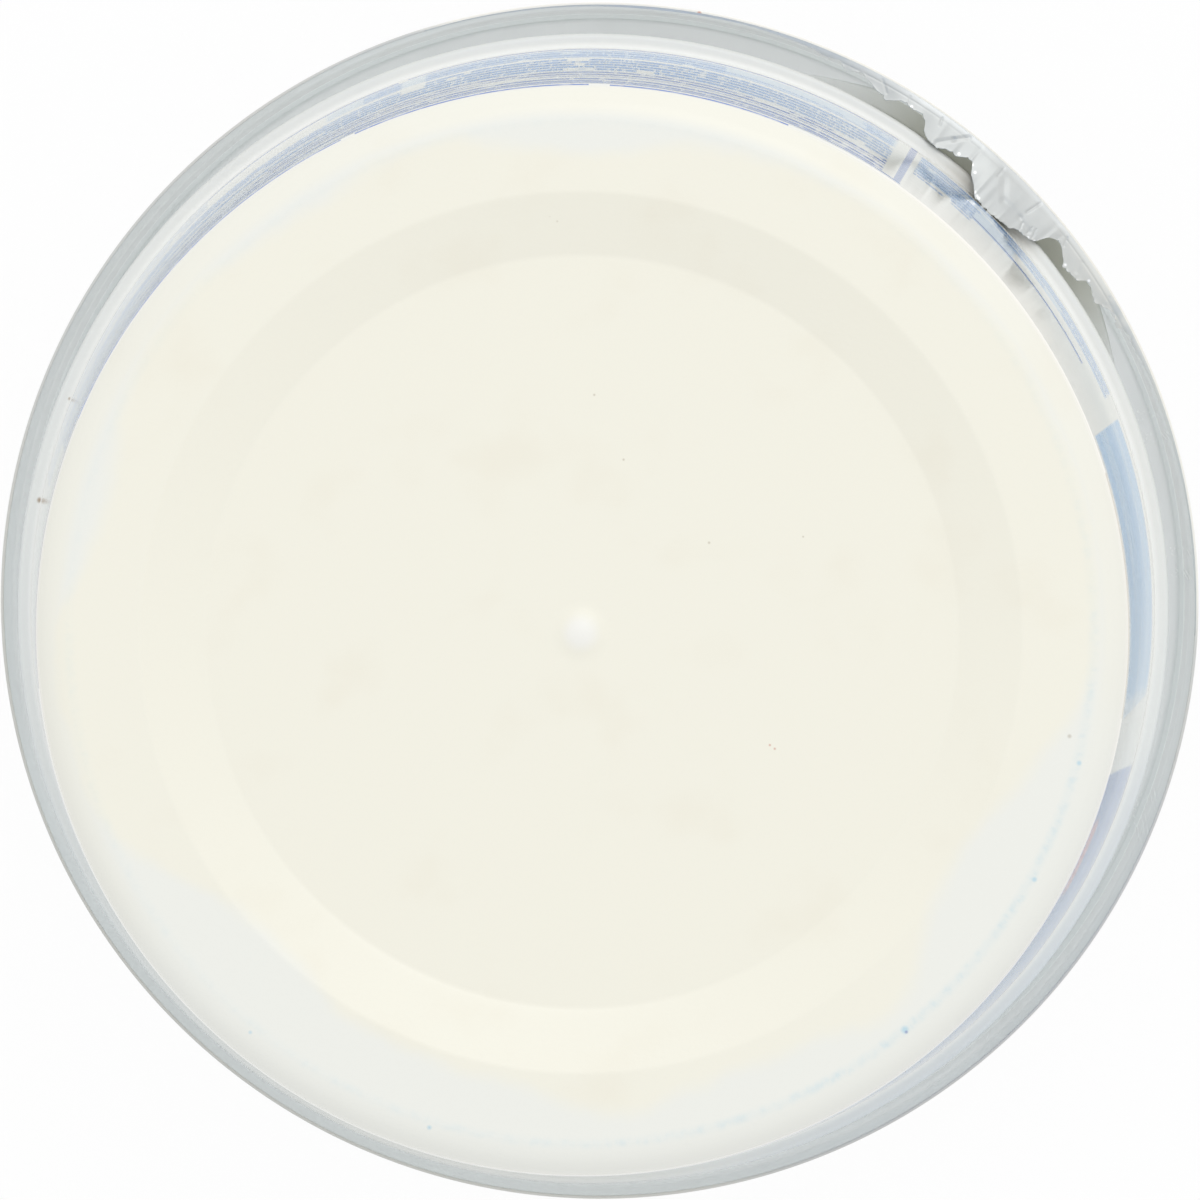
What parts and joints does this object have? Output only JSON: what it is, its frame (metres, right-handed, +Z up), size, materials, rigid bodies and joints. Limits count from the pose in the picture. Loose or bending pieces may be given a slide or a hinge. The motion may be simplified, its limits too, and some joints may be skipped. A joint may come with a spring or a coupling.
{
  "type": "cream cheese tub",
  "caption": "Round drafted plastic tub of soft white cheese, upside down on its push-on lid, with a recessed base and a foil seal folded under the lid.",
  "frame": {"origin": "centre of the lid's resting face, on the surface that the upturned tub stands on", "axes": "+Z up, from the lid towards the tub's base; the foil's tab lies towards +X and +Y, 48 degrees from +X"},
  "size_m": [0.104, 0.104, 0.0478],
  "materials": {
    "tub_plastic": "thin white translucent moulded plastic, printed pale blue on the wall",
    "cream_cheese": "smooth soft cheese, off-white, slightly moist",
    "foil": "matt silver sealing foil, crumpled at its tab",
    "lid_plastic": "thin translucent moulded plastic, soft sheen"
  },
  "bodies": {
    "root": {"tub": "tub_plastic", "cream_cheese": "cream_cheese", "foil_seal": "foil", "lid": "lid_plastic"}
  },
  "joints": []
}
